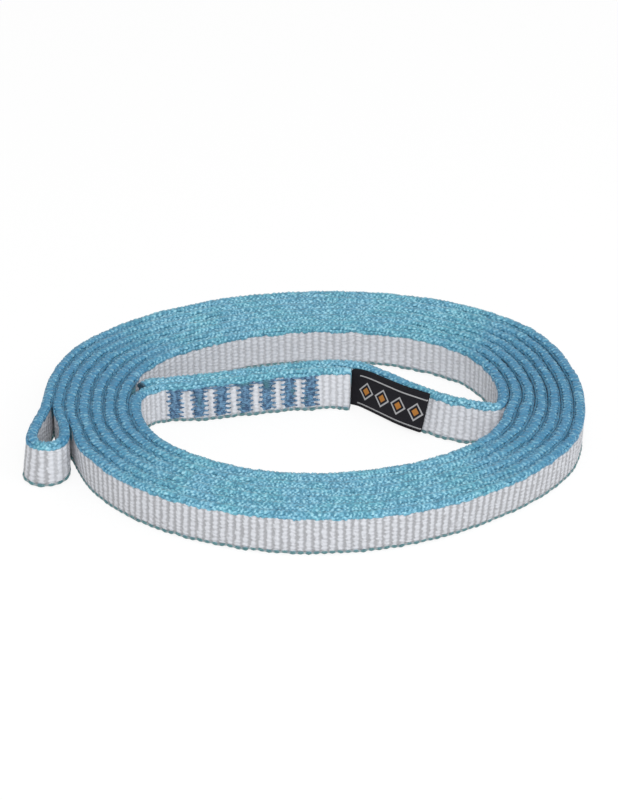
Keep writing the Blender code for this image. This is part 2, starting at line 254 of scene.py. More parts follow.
class Line:
    """A smooth line in plan, read by its length from its start."""

    def __init__(self, points):
        self.points = np.array([p[:] for p in points])
        steps = np.linalg.norm(np.diff(self.points, axis=0), axis=1)
        self.stations = np.concatenate(([0], np.cumsum(steps)))
        self.length = self.stations[-1]

    def at(self, stations):
        x, y = (np.interp(stations, self.stations, self.points[:, axis]) for axis in (0, 1))
        return np.stack([x, y], axis=-1)

    def left(self, stations, reach=TANGENT_STEP):
        """Unit vectors to the left of the line."""
        along = self.at(np.asarray(stations) + reach) - self.at(np.asarray(stations) - reach)
        along /= np.linalg.norm(along, axis=-1, keepdims=True)
        return np.stack([-along[..., 1], along[..., 0]], axis=-1)

    def beside(self, stations, across):
        """Places at a distance to the left of the line."""
        return self.at(stations) + self.left(stations) * np.asarray(across)[..., None]


def inner_bight():
    """From the end of the inner turn, round the inner eye, towards the free strand."""
    start = coil_point(0, 1) - Vector((0, INNER_BIGHT_REACH))
    radius = INNER_EYE_RADIUS + bpy.context.scene.sling_tape.thickness / 2
    return arc(start - Vector((radius, 0)), radius, 0, -INNER_BIGHT_TURN, BIGHT_STATIONS // 2)


def outer_bight(turns):
    """From the end of the inner lane, round the loop's eye, to the end of the outer lane."""
    inner, outer = coil_point(turns, 0), coil_point(turns, 1)
    radius = OUTER_EYE_RADIUS + bpy.context.scene.sling_tape.thickness / 2
    centre = (inner + outer) / 2 - Vector((OUTER_BIGHT_SWING, OUTER_BIGHT_REACH))
    loop = arc(centre, radius, 0, -math.pi, BIGHT_STATIONS)
    down = Vector((0, -1))
    leg_in = bend(inner, down, loop[0], down, BEND_STATIONS)
    leg_out = bend(loop[-1], -down, outer, -down, BEND_STATIONS)
    return leg_in + loop + leg_out


def free_spine():
    """Middle line of the inner bight, the free strand and the far layer of the splice."""
    guides = [Vector(HALF_HOLLOW * shares) for shares in FREE_STRAND_SHARES]
    return Line(spline_through(inner_bight() + guides, TURN_STATIONS))


def far_end(spine):
    return spine.stations[-1] - FAR_END_MARGIN


def near_end(spine):
    return far_end(spine) - SPLICE_LENGTH


def seam(spine, station):
    """Gap between the layers, wider where the label's root lies between them."""
    first_tack = near_end(spine) + NEAR_TACK_MARGIN
    share = min(max((first_tack + TACK_PITCH - station) / TACK_PITCH, 0), 1)
    return SEAM_GAP + (ROOT_SEAM - SEAM_GAP) * eased(share)


def near_layer(spine, station):
    """Middle of the layer that faces the hollow, beside one station of the free strand."""
    across = bpy.context.scene.sling_tape.thickness + seam(spine, station)
    return Vector(spine.beside(station, across))


def spread(start, end, step):
    """Stations from a start to an end, about a step apart."""
    return [*np.linspace(start, end, round((end - start) / step) + 1)]


def tape_route(spine):
    """The tape's middle line, from the near cut end to the far one, before it is centred."""
    turns = HALF_TURNS / 2
    start, end = near_end(spine), far_end(spine)
    near_stations = spread(start, end - BEND_START, SPLICE_STEP)
    free_stations = spread(spine.stations[BIGHT_STATIONS // 2 * TURN_STATIONS], start, FREE_STEP)
    far_stations = spread(start, end, SPLICE_STEP)
    route = [near_layer(spine, station) for station in near_stations]
    lane = coil_lane(0, 1 / 2, turns)
    leaving = route[-1] - route[-2]
    route += bend(route[-1], leaving.normalized(), lane[0], Vector((0, -1)), BEND_STATIONS)
    route += lane + outer_bight(turns) + coil_lane(1, 0, turns)[::-1]
    route += inner_bight()
    route += [Vector(place) for place in spine.at(free_stations[1:] + far_stations[1:])]
    return route


def tape_line():
    """The tape's middle line in the frame's own place, whose origin is the route's middle."""
    route = tape_route(free_spine())
    corners = np.array([p[:] for p in route])
    middle = Vector((corners.min(0) + corners.max(0)) / 2)
    return Line(spline_through([p - middle for p in route], LINE_SAMPLES))


# Meshes along the tape

LINE_SAMPLES = 8
STRAND_PITCH = 0.0032
COVERED_STEP = 0.001
COVERED_MARGIN = 0.004
OUTER_TURNS = 1.2
WELD_DISTANCE = 0.0000005
RIB_PHASES = (0, 0.13, 0.29, 0.5, 0.71, 0.87)
RIB_ROUNDNESS = 3

# Where a neighbouring strand is looked for and how far from there it may lie, in strand
# pitches, and how far from the coil's middle this goes
NEIGHBOURS = ((1, 0.5, math.inf), (1.6, 0.45, OUTER_TURNS))

COIL_MIDDLE = np.array((0.0031, -0.0017))

# Strands at the front right stand with their feet drawn in towards the hollow
LEAN = 0.0018
LEAN_ANGLE = math.radians(-48)
LEAN_SHARPNESS = 6
OUTSIDE_SHARPNESS = 8

# Outward shifts of the innermost and the outermost strands, by the angle round the hollow
SETTLED_ANGLES = (-180, -150, -130, -110, -90, -70, -50, -20, 0, 20, 40, 60, 80, 100, 120, 150)
SETTLED_INNER = (-0.0018, -0.0013, -0.0016, -0.0012, -0.0016, -0.0026, -0.0028, -0.0020,
                 -0.0005, 0.0012, 0.0031, 0.0021, 0.0007, -0.0003, -0.0011, -0.0005)
SETTLED_OUTER = (0.0003, 0.0003, 0.0006, 0.0001, -0.0001, 0.0001, -0.0003, 0.0013,
                 0.0002, 0.0003, 0.0020, 0.0013, 0.0001, -0.0006, -0.0005, 0.0017)
TURNS_WIDTH = 0.019
RING_START = 0.8

# Strands at the front stand with their feet forward and their tops back
FRONT_TILT = 0.0006
FRONT_HALF_ANGLE = math.radians(60)

# The outer bight lies against the turns: its top is drawn back, the top of its left leg to
# the right, and its right leg to the right over its whole height
BIGHT_MIDDLE = (-0.0692, -0.0207)
BIGHT_REACH = 0.011
BIGHT_LEFT_REACH = BIGHT_REACH / 3
BIGHT_BACK = 0.0026
BIGHT_RIGHT = 0.0017
BIGHT_ASIDE = 0.0009

# Beside each bight the tops of the turns lie against it: the middle and the reach of that
# stretch, how far it is drawn to the left, and a place on the bight
BIGHT_LENGTH = 0.08
DRAWN_IN = (
    ((-0.0616, -0.0222), 0.0060, 0.0016, BIGHT_MIDDLE),
    ((0.0555, -0.0062), 0.0050, 0.0010, (0.0508, -0.0051)),
)

# The free strand and both layers of the splice stand with their feet forward, by the
# distance from the near cut end
FOOT_PLACES = (-0.052, -0.036, -0.022, -0.006, 0.010, 0.043, 0.056)
FOOT_FORWARD = (0, 0.0028, 0.0028, 0.0019, 0.0017, 0.0009, 0)
STRAND_BACK = (0, 0.0019, 0.0018, 0.0004, 0, 0, 0)
PINCH_LENGTH = 0.013
PINCH = 0.00022


def hollow_reach(places):
    """Distance from the coil's middle, in shares of the hollow's half length and half width."""
    return np.linalg.norm((places[..., :2] - COIL_MIDDLE) / HALF_HOLLOW, axis=-1)


def bell(away, reach):
    """1 in the middle, 0 from a little past the reach, and flat on top."""
    return np.exp(-(away / reach) ** 4)


def settled(places):
    """Moves the strands outward or inward to where the turns have settled."""
    from_middle = places[..., :2] - COIL_MIDDLE
    away = np.linalg.norm(from_middle, axis=-1)
    reach = hollow_reach(places)
    in_hollow = from_middle / HALF_HOLLOW
    angle = np.degrees(np.arctan2(in_hollow[..., 1], in_hollow[..., 0]))
    inner, outer = (np.interp(angle, SETTLED_ANGLES, shifts, period=360)
                    for shifts in (SETTLED_INNER, SETTLED_OUTER))
    turned = np.clip(away * (1 - 1 / reach) / TURNS_WIDTH, 0, 1)
    in_ring = np.clip((reach - RING_START) / (1 - RING_START), 0, 1)
    shift = (inner + (outer - inner) * turned) * eased(in_ring)
    places[..., :2] += from_middle * (shift / away)[..., None]
    return places


def leaned(places):
    """Leans the strands at the front right and at the front, and draws the outer bight back."""
    top = places[..., 2] / bpy.context.scene.sling_tape.width
    from_middle = places[..., :2] - COIL_MIDDLE
    outward = from_middle / np.linalg.norm(from_middle, axis=-1, keepdims=True)
    outside = np.clip(hollow_reach(places), 0, 1) ** OUTSIDE_SHARPNESS
    towards = outward @ np.array([math.cos(LEAN_ANGLE), math.sin(LEAN_ANGLE)])
    drawn_in = LEAN * np.clip(towards, 0, 1) ** LEAN_SHARPNESS * outside * (1 - top)
    in_front = np.clip(1 - np.arccos(-outward[..., 1]) / FRONT_HALF_ANGLE, 0, 1) * outside
    tilt = FRONT_TILT * (1 - 2 * top) * in_front * (2 - in_front)
    from_bight = places[..., :2] - BIGHT_MIDDLE
    near = bell(np.linalg.norm(from_bight, axis=-1), BIGHT_REACH)
    on_left = np.clip(-from_bight[..., 0] / BIGHT_LEFT_REACH, 0, 1)
    places[..., :2] += outward * (tilt - drawn_in)[..., None]
    places[..., 0] += (BIGHT_RIGHT * top * on_left + BIGHT_ASIDE * (1 - on_left)) * near
    places[..., 1] += BIGHT_BACK * near * top
    return places


def splice_lean(line, stations, height):
    """How far a point of the splice or of the free strand stands forward, for its share of height."""
    from_far_strand = stations - (line.length - SPLICE_LENGTH)
    forward = np.interp(stations, FOOT_PLACES, FOOT_FORWARD)
    forward += np.interp(from_far_strand, FOOT_PLACES, FOOT_FORWARD)
    near = np.clip(1 - stations / PINCH_LENGTH, 0, 1)
    far = np.clip(1 - np.abs(from_far_strand) / PINCH_LENGTH, 0, 1)
    back = np.interp(from_far_strand, FOOT_PLACES, STRAND_BACK)[:, None]
    pinched = (np.sqrt(far) - np.sqrt(near))[:, None] * PINCH * height
    return forward[:, None] * (1 - height) + pinched - back


def on_tape(line, stations, across, heights):
    """Places beside the tape's middle line: across its thickness, and up its width."""
    heights = np.broadcast_to(heights, across.shape)
    top = heights / bpy.context.scene.sling_tape.width
    plan = line.beside(stations[:, None], across + splice_lean(line, stations, top))
    places = leaned(settled(np.dstack([plan, heights])))
    for middle, reach, drawn, bight in DRAWN_IN:
        away = np.linalg.norm(places[..., :2] - middle, axis=-1)
        from_bight = np.abs(stations - nearest_station(line, bight, 0, line.length))
        in_turns = (from_bight > BIGHT_LENGTH / 2)[:, None]
        places[..., 0] -= drawn * top * np.exp(-(away / reach) ** 2) * in_turns
    return places


def new_mesh(name, shape):
    mesh = bpy.data.meshes.new(name)
    shape.to_mesh(mesh)
    shape.free()
    return mesh


def strip_mesh(name, places, stations, around, attributes=None):
    """A tube on the given places, one column for each station, drawn together at both ends."""
    source = np.clip(np.arange(-1, len(places) + 1), 0, len(places) - 1)
    places = places[source]
    places[[0, -1]] = places[[0, -1], :-1].mean(axis=1, keepdims=True)
    columns, rows = places.shape[:2]
    shape = bmesh.new()
    shape.loops.layers.uv.new("UVMap")
    bmesh.ops.create_grid(
        shape, x_segments=columns - 1, y_segments=rows - 1, size=1, calc_uvs=True)
    mesh = new_mesh(name, shape)
    flat = np.zeros(len(mesh.vertices) * 3)
    mesh.vertices.foreach_get("co", flat)
    share = (flat.reshape(-1, 3)[:, :2] + 1) / 2
    column, row = np.rint(share * (columns - 1, rows - 1)).astype(int).T
    mesh.vertices.foreach_set("co", places[column, row].ravel())
    loops = np.zeros(len(mesh.loops), int)
    mesh.loops.foreach_get("vertex_index", loops)
    across = np.broadcast_to(around, (columns, rows))
    uvs = np.stack([stations[source[column]], across[column, row]], axis=-1)
    mesh.uv_layers[0].data.foreach_set("uv", uvs[loops].ravel())
    for label, values in (attributes or {}).items():
        values = np.broadcast_to(values.T, (rows, columns - 2)).T
        mesh.attributes.new(label, "FLOAT", "POINT").data.foreach_set(
            "value", values[source[column], row])
    weld_tube(mesh)
    return mesh


def weld_tube(mesh):
    """Closes a tube's seam and ends, and turns its faces outwards."""
    shape = bmesh.new()
    shape.from_mesh(mesh)
    bmesh.ops.remove_doubles(shape, verts=shape.verts, dist=WELD_DISTANCE)
    bmesh.ops.dissolve_degenerate(shape, edges=shape.edges, dist=WELD_DISTANCE)
    bmesh.ops.recalc_face_normals(shape, faces=shape.faces)
    for face in shape.faces:
        face.smooth = True
    shape.to_mesh(mesh)
    shape.free()


def linked(name, data):
    thing = bpy.data.objects.new(name, data)
    bpy.context.scene.collection.objects.link(thing)
    return thing


def new_piece(name, mesh, material, body):
    """A finished piece, which rides a body unless that is none."""
    thing = linked(name, mesh)
    mesh.materials.append(material)
    if body:
        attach(thing, body)
    return thing


def rib_stations(line, pitch):
    """Stations along the tape, several to each rib, with the rib number and the phase of each."""
    ribs = round(line.length / pitch)
    numbers, phases = np.meshgrid(np.arange(ribs), RIB_PHASES, indexing="ij")
    numbers, phases = numbers.ravel(), phases.ravel()
    return (numbers + phases) * line.length / ribs, numbers, phases


def nearest_station(line, place, first, last):
    """Station between two others whose point lies nearest to a place in plan."""
    stations = np.arange(first, last, TANGENT_STEP / 4)
    return stations[np.linalg.norm(line.at(stations) - np.array(place[:2]), axis=1).argmin()]


def covered(line, stations, side):
    """1 at the stations where another strand lies close to this side of the tape, and else 0."""
    tree = KDTree(len(line.points))
    for number, point in enumerate(line.points):
        tree.insert((*point, 0), number)
    tree.balance()
    coarse = np.arange(0, line.length, COVERED_STEP)
    middles, sides = line.at(coarse), line.left(coarse) * side * STRAND_PITCH
    near = np.zeros(len(coarse), bool)
    for pitches, miss, reach in NEIGHBOURS:
        misses = np.array([tree.find((*place, 0))[2] for place in middles + sides * pitches])
        near |= (misses < miss * STRAND_PITCH) & (hollow_reach(middles) < reach)
    span = 2 * round(COVERED_MARGIN / COVERED_STEP) + 1
    kept = np.convolve(near, np.ones(span), "same") > span - 1 / 2
    return np.interp(stations, coarse, kept * 1.0)


def facing_out(line, stations, side):
    """1 where this side of the tape faces away from the coil's middle in the outer turns, else 0."""
    middles, sides = line.at(stations), line.left(stations) * side
    outward = ((middles - COIL_MIDDLE) * sides).sum(axis=1) > 0
    return outward * (hollow_reach(middles) > OUTER_TURNS) * 1.0


def tack_stations(line):
    """For each bar tack, the stations of its middle on the near layer and on the far one."""
    layers = ((0, SPLICE_LENGTH), (line.length - SPLICE_LENGTH, line.length))
    names = [f"bar_tack_{number}" for number in range(1, TACK_COUNT + 1)]
    middles = {name: sum(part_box(name), Vector()) / 2 for name in names}
    return {name: [nearest_station(line, middle, *layer) for layer in layers]
            for name, middle in middles.items()}


# Materials

class Finish:
    """A material being made: its shader, and short ways to add the nodes that feed it."""

    def __init__(self, name, inputs):
        self.material = bpy.data.materials.new(name)
        self.material.use_nodes = True
        self.shader = self.material.node_tree.nodes["Principled BSDF"]
        for socket, value in inputs.items():
            self.feed(self.shader.inputs[socket], value)

    def feed(self, socket, value):
        """Links a value to a socket, or sets the socket to a number or a colour."""
        if isinstance(value, bpy.types.NodeSocket):
            self.material.node_tree.links.new(value, socket)
        else:
            socket.default_value = value if isinstance(value, (int, float)) else (*value, 1)

    def add(self, kind, inputs=None, **settings):
        """Adds a node, feeds the named or numbered inputs, and gives its outputs."""
        node = self.material.node_tree.nodes.new("ShaderNode" + kind)
        for setting, value in settings.items():
            setattr(node, setting, value)
        for socket, value in (inputs or {}).items():
            self.feed(node.inputs[socket], value)
        return node.outputs

    def maths(self, operation, *values):
        return self.add("Math", dict(enumerate(values)), operation=operation)[0]

    def times(self, first, second):
        return self.maths("MULTIPLY", first, second)

    def scaled(self, value, by, plus):
        return self.maths("MULTIPLY_ADD", value, by, plus)

    def swayed(self, value, noise, amount):
        """A value that a noise moves up and down, by an amount in all."""
        return self.maths("ADD", value, self.scaled(noise, amount, -amount / 2))

    def apart(self, first, second):
        return self.maths("ABSOLUTE", self.maths("SUBTRACT", first, second))

    def faded(self, value, low, high):
        """0 at the low value, 1 at the high one, and smooth between them."""
        inputs = {0: value, 1: low, 2: high}
        return self.add("MapRange", inputs, interpolation_type="SMOOTHSTEP")[0]

    def band(self, value, low, high, blur):
        """1 between the low value and the high one, and faded to 0 over a blur inside each."""
        return self.times(self.faded(value, low, low + blur), self.faded(value, high, high - blur))

    def blended(self, share, first, second):
        return self.add("Mix", {0: share, 6: first, 7: second}, data_type="RGBA")[2]

    def noise(self, place, scale, detail):
        return self.add("TexNoise", {"Vector": place, "Scale": scale, "Detail": detail})[0]

    def attribute(self, name):
        return self.add("Attribute", attribute_name=name)["Fac"]

    def parts(self, place):
        return self.add("SeparateXYZ", {0: place})

    def done(self, colour, height, rise):
        """The material, with its colour, and the height that its bump is read from."""
        bump = self.add("Bump", {"Strength": 1.0, "Distance": rise, "Height": height})
        self.feed(self.shader.inputs["Base Color"], colour)
        self.feed(self.shader.inputs["Normal"], bump[0])
        return self.material


# Scale and detail of the noises
HUE_PATCHES = (110, 2)
WEAVE_GRAIN = (2300, 3)
WEAVE_DRIFT = (420, 1)
WEAVE_SPOTS = (900, 1)
YARN_GRAIN = (580, 1)
YARN_FINE = (1200, 1)
THREAD_GRAIN = (1100, 2)
THREAD_PATCHES = (330, 1)
CLOTH_GRAIN = (1300, 2)

# Both ends of the fades
HUE_FADE = (0.38, 0.62)
LENGTHWAYS_FADE = (0.45, 0.95)
CURL_FADE = (0.12, 0.0)
SHADE_FADE = (-0.1, 0.5)
HIGHLIGHT_FADE = (0.45, 0.95)
SEAM_FADE = (0.0119, 0.0111)
FOOT_FADE = (0.0028, 0.0022)
SCALLOP_FADE = (-0.25, 0.45)
THREAD_FADE = (0.32, 0.68)
GREEN_FADE = (0.56, 0.80)

# How far the bumps stand up
WEAVE_RISE = 0.00009
YARN_RISE = 0.0004
THREAD_RISE = 0.00012
CLOTH_RISE = 0.00007

# Melted far cut end
MELTED = 0.0007
MELTED_COLOUR = (0.022, 0.075, 0.120)


def edge_hues(finish, settings, place):
    """The edge yarns' main colour, greener in some places and bluer in others."""
    patches = finish.faded(finish.noise(place, *HUE_PATCHES), *HUE_FADE)
    return finish.blended(patches, settings.edge_colour, settings.edge_colour_green)


def melted(finish, along, length, colour):
    """Darkens a colour at the far cut end, where the fibre was melted."""
    end = finish.maths("SUBTRACT", length, along)
    return finish.blended(finish.faded(end, MELTED / 3, MELTED), MELTED_COLOUR, colour)


# Woven face: how its ribs and warp yarns sway, how much each part darkens it (painted shade in the
# valleys, the weave's own tone from the warp, spots and grain), how much painted shade the outer faces of
# the outer turns get, where its white ends, and how far painted blue shade reaches down faces that lie
# close against another strand
WARP_PITCH = 0.00125
WARP_SWAY = 9.0
RIB_SWAY = 0.5
VALLEY_SHARPNESS = 3
VALLEY_SHADE = 0.75
WARP_SHADE = -0.13
SPOT_SHADE = 0.9
GRAIN_SHADE = 0.3
OUTER_FACE_SHADE = 0.35
WHITE_LOW = 0.0011
WHITE_HIGH = 0.0108
WHITE_BLUR = 0.0002
WHITE_IN_VALLEY = 0.0003
WHITE_WANDER = 0.0007
HIDDEN_SEAM_SHADE = 0.0045
LOWER_BLUE = 0.7
WARP_RISE_SHARE = 0.5


def woven_material(settings, length, pitch):
    """White cross ribs, each crossed by fine warp yarns, turning blue at the tape's edges; painted shade
    darkens the valleys between the ribs and the outer faces of the outer turns, and runs blue down faces
    that lie close against another strand.
    """
    finish = Finish("woven_tape", {"Roughness": 0.7, "Sheen Weight": 0.1})
    maths, times, scaled, swayed = finish.maths, finish.times, finish.scaled, finish.swayed
    uv = finish.add("UVMap")[0]
    along, up, _ = finish.parts(uv)
    grain, drift, spots = (finish.noise(uv, *kind) for kind in (WEAVE_GRAIN, WEAVE_DRIFT, WEAVE_SPOTS))
    turns = maths("DIVIDE", along, pitch)
    ribs = maths("COSINE", times(swayed(turns, spots, RIB_SWAY), math.pi))
    valley = maths("POWER", maths("ABSOLUTE", ribs), VALLEY_SHARPNESS)
    warp = scaled(up, math.tau / WARP_PITCH, times(maths("FLOOR", turns), math.pi))
    warp = maths("SINE", scaled(drift, WARP_SWAY, warp))
    dark = scaled(valley, VALLEY_SHADE, times(warp, WARP_SHADE))
    dark = scaled(grain, GRAIN_SHADE, swayed(dark, spots, SPOT_SHADE))
    # Painted shade: the outer faces of the outer turns are greyer, with deeper valleys, and the other
    # faces are painted lighter
    outer_face_shade = times(finish.attribute("outer"), OUTER_FACE_SHADE)
    shaded = scaled(finish.faded(dark, 0.0, 1.0), maths("ADD", outer_face_shade, 1 - OUTER_FACE_SHADE),
                    times(outer_face_shade, OUTER_FACE_SHADE))
    # Painted shade: the white takes the darker valley colour between the ribs
    white = finish.blended(shaded, settings.rib_colour, settings.valley_shade_colour)
    place = swayed(scaled(valley, WHITE_IN_VALLEY, up), grain, WHITE_WANDER)
    # Painted shade: on faces that lie close against another strand, the blue reaches further down, in the
    # seam's shade
    high = scaled(finish.attribute("hidden"), HIDDEN_SEAM_SHADE, place)
    upper = finish.faded(high, WHITE_HIGH - WHITE_BLUR, WHITE_HIGH + WHITE_BLUR)
    lower = finish.faded(place, WHITE_LOW + WHITE_BLUR, WHITE_LOW - WHITE_BLUR / 2)
    edge = maths("MAXIMUM", upper, times(lower, LOWER_BLUE))
    colour = finish.blended(edge, white, edge_hues(finish, settings, uv))
    colour = melted(finish, along, length, colour)
    return finish.done(colour, scaled(warp, WARP_RISE_SHARE, grain), WEAVE_RISE)


# Edge yarn: how its ridges follow the weave, how much painted highlight it has, and how much painted shade
# where it is seen lengthways or lies deep in a seam; a pair is a factor and what is added
RIDGE_BY_LIFT = (1.5, -0.6)
RIDGE_BY_CURL = 0.45
RIDGE_BY_GRAIN = 1.0
HIGHLIGHTS_LENGTHWAYS = (-0.3, 0.85)
LENGTHWAYS_SHADE = 0.78
LENGTHWAYS_HIGHLIGHT = 0.8
SEAM_RAGGED = 0.0016
SEAM_SHARE = 0.15
SEAM_LENGTHWAYS = 0.75


def yarn_material(settings, length):
    """Blue edge yarn of fine filaments, with painted highlights where it floats, and painted shade where
    it dives, where it runs front to back, deep in seams and along the lower edge.
    """
    finish = Finish("edge_yarn", {"Roughness": 0.45, "Sheen Weight": 0.1})
    times, scaled, faded, blended = finish.times, finish.scaled, finish.faded, finish.blended
    along = finish.parts(finish.add("UVMap")[0])[0]
    place = finish.add("TexCoord")["Object"]
    height = finish.parts(place)[2]
    lift, hidden, depthways = (finish.attribute(name) for name in ("lift", "hidden", "depthways"))
    lengthways = faded(depthways, *LENGTHWAYS_FADE)
    grain, fine = finish.noise(place, *YARN_GRAIN), finish.noise(place, *YARN_FINE)
    curl = faded(finish.apart(grain, 0.5), *CURL_FADE)
    ridge = scaled(curl, RIDGE_BY_CURL, scaled(lift, *RIDGE_BY_LIFT))
    ridge = finish.swayed(ridge, fine, RIDGE_BY_GRAIN)
    hues = edge_hues(finish, settings, place)
    # Painted shade where the yarn dives into the weave
    colour = blended(faded(ridge, *SHADE_FADE), settings.shade_colour, hues)
    # Painted highlight on the floats, fainter on yarns that run front to back
    highlight = times(faded(ridge, *HIGHLIGHT_FADE), scaled(lengthways, *HIGHLIGHTS_LENGTHWAYS))
    colour = blended(highlight, colour, settings.float_highlight_colour)
    # Painted shade on yarns that run front to back, with more painted highlight laid over it
    colour = blended(times(lengthways, LENGTHWAYS_SHADE), colour, settings.lengthways_shade_colour)
    highlight = times(highlight, times(lengthways, LENGTHWAYS_HIGHLIGHT))
    colour = blended(highlight, colour, settings.float_highlight_colour)
    # Painted shade deep in the seams between strands, most on yarns that run front to back
    deep = times(faded(finish.swayed(height, fine, SEAM_RAGGED), *SEAM_FADE), SEAM_SHARE)
    deep = times(hidden, scaled(lengthways, SEAM_LENGTHWAYS, deep))
    colour = blended(deep, colour, settings.seam_shade_colour)
    # Painted shade along the lower edge, grey in the dips between the scallops
    scallop = blended(faded(lift, *SCALLOP_FADE), settings.valley_shade_colour, settings.foot_shade_colour)
    colour = blended(faded(height, *FOOT_FADE), colour, scallop)
    colour = melted(finish, along, length, colour)
    return finish.done(colour, finish.maths("ADD", fine, grain), YARN_RISE)


def thread_material(settings):
    """Bonded sewing thread, from steel blue to navy, with a green cast in places."""
    finish = Finish("tack_thread", {"Roughness": 0.5})
    place = finish.add("TexCoord")["Object"]
    grain, patches = finish.noise(place, *THREAD_GRAIN), finish.noise(place, *THREAD_PATCHES)
    colour = finish.blended(finish.faded(grain, *THREAD_FADE), settings.dark, settings.colour)
    colour = finish.blended(finish.faded(patches, *GREEN_FADE), colour, settings.green)
    return finish.done(colour, grain, THREAD_RISE)


# Woven pattern of the label; the diamonds' parts are shares of their pitch
PATTERN_START = 0.0146
PATTERN_END = 0.0382
PATTERN_BLUR = 0.0001
DIAMOND_PITCH = 0.0059
DIAMOND_HALF_HEIGHT = 0.0030
DIAMOND_RIM = (0.34, 0.47)
DIAMOND_CORE = 0.22
DIAMOND_BLUR = 0.03
LINE_PLACES = (0.0013, 0.0097)
LINE_HALF_WIDTH = 0.00018
LINE_BLUR_SHARE = 0.4
CLOTH_PITCH = 0.00042
PATTERN_BY_WEAVE = (0.25, 0.75)
CLOTH_BY_WEAVE = 0.4


def label_material(settings, length):
    """Black woven ribbon with two light lines and a row of small diamonds on its loose part."""
    finish = Finish("label_cloth", {"Roughness": 0.8, "Specular IOR Level": 0.15})
    maths, times, faded, blended = finish.maths, finish.times, finish.faded, finish.blended
    uv = finish.add("UVMap")[0]
    along, up, _ = finish.parts(uv)
    reach = maths("MINIMUM", along, maths("SUBTRACT", length, along))
    weave = times(*(maths("SINE", times(way, math.tau / CLOTH_PITCH)) for way in (along, up)))
    grain = finish.noise(uv, *CLOTH_GRAIN)
    lines = [faded(finish.apart(up, place), LINE_HALF_WIDTH * (1 + LINE_BLUR_SHARE),
                   LINE_HALF_WIDTH * (1 - LINE_BLUR_SHARE)) for place in LINE_PLACES]
    turns = maths("DIVIDE", maths("SUBTRACT", reach, PATTERN_START), DIAMOND_PITCH)
    beside = finish.apart(maths("FRACT", turns), 0.5)
    above = maths("DIVIDE", finish.apart(up, sum(LINE_PLACES) / 2), 2 * DIAMOND_HALF_HEIGHT)
    diamond = maths("ADD", beside, above)
    rim = finish.band(diamond, *DIAMOND_RIM, DIAMOND_BLUR)
    core = faded(diamond, DIAMOND_CORE, DIAMOND_CORE - DIAMOND_BLUR)
    shown = finish.band(reach, PATTERN_START, PATTERN_END, PATTERN_BLUR)
    thread = times(shown, finish.scaled(weave, *PATTERN_BY_WEAVE))
    light = maths("MAXIMUM", maths("MAXIMUM", *lines), rim)
    colour = blended(grain, settings.colour, settings.worn_colour)
    colour = blended(times(light, thread), colour, settings.line_colour)
    colour = blended(times(core, thread), colour, settings.spot_colour)
    return finish.done(colour, finish.scaled(weave, CLOTH_BY_WEAVE, grain), CLOTH_RISE)


# Webbing

# Half width share, height and share of the rib's rise, up one face of the body
BODY_ROWS = (
    (0.93, 0.0008, 0.0), (1.0, 0.0018, 0.75), (1.0, 0.0042, 1.0),
    (1.0, 0.0080, 1.0), (1.0, 0.0104, 0.75), (0.95, 0.0111, 0.0),
)
FACE_SHARE = 0.87
RIB_FULLNESS = (0.7, 1.1)
TACK_DENT = 0.00035
DENT_HALF_LENGTH = 0.0017
WEBBING_SEED = 11


class SLING_OT_webbing(Operator):
    """The tape's white woven body, with its cross ribs on both faces"""
    bl_idname = "sling.webbing"
    bl_label = "Webbing"

    def execute(self, context):
        tape = context.scene.sling_tape
        line = tape_line()
        stations, numbers, phases = rib_stations(line, tape.rib_pitch)
        rows = [*BODY_ROWS, *((-share, z, rise) for share, z, rise in BODY_ROWS[::-1])]
        shares, heights, rises = np.array(rows + rows[:1]).T
        rng = np.random.default_rng(WEBBING_SEED)
        fullness = rng.uniform(*RIB_FULLNESS, (numbers.max() + 1, len(rows)))[numbers]
        fullness = np.concatenate([fullness, fullness[:, :1]], axis=1)
        rib = (1 - np.abs(np.cos(math.pi * phases)) ** RIB_ROUNDNESS)[:, None]
        near, far = (sum(bell(stations - middle, DENT_HALF_LENGTH) for middle in middles)[:, None]
                     for middles in zip(*tack_stations(line).values()))
        pressed = np.where(shares > 0, near, -far) * TACK_DENT * rises
        across = shares * FACE_SHARE * tape.thickness / 2 - pressed
        across += np.sign(shares) * rises * tape.rib_height * rib * fullness
        on_right = (shares < 0).astype(int)
        # The outer mark carries painted shade on the outer faces of the outer turns, and the hidden mark
        # carries painted blue shade down faces that lie close against another strand
        hidden, outer = (np.stack([mark(line, stations, side) for side in (1, -1)], axis=1)[:, on_right]
                         for mark in (covered, facing_out))
        mesh = strip_mesh("webbing", on_tape(line, stations, across, heights), stations, heights,
                          {"hidden": hidden, "outer": outer * (1 - hidden)})
        pitch = line.length / round(line.length / tape.rib_pitch)
        material = woven_material(tape, line.length, pitch)
        body = new_piece("webbing", mesh, material, "sling")
        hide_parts("sling_webbing")
        return {"FINISHED"}


# Edge yarns
YARN_DIVE = 0.00032
LENGTHWAYS_CALM = 0.65
YARN_SIDES = 8
YARN_STEP = 0.00025
YARN_SEED = 100
YARN_SLIM = 0.8
YARN_SPREAD = 0.25
FLOAT_LENGTH = 0.00064
FLOAT_SEED = 5
FLOAT_SPREAD = 0.6
FLOATS_UP = (0.65, 1.0)
FLOATS_DOWN = (0, 0.3)
SCALLOPS = (0.5, 1.0)
SWAY_LENGTH = 0.0015
SWAY_SPREAD = 0.5
SWAY = 0.00018
SLANT = 0.5
PRESSED_OUT = 0.00038
PRESSED_OUT_LENGTHWAYS = 0.00018
PRESSED_UP = 0.00045
# Number of yarns and their half width and half depth; half width, rise and middle height of
# the line that they lie on; the angle of the first yarn, and how square the line is
UPPER_EDGE = (3, 0.00120, 0.00042, 0.00112, 0.00080, 0.0108, math.radians(6), 1.0)
LOWER_EDGE = (3, 0.00066, 0.00040, 0.00112, 0.00090, 0.0109, math.radians(20), 0.6)


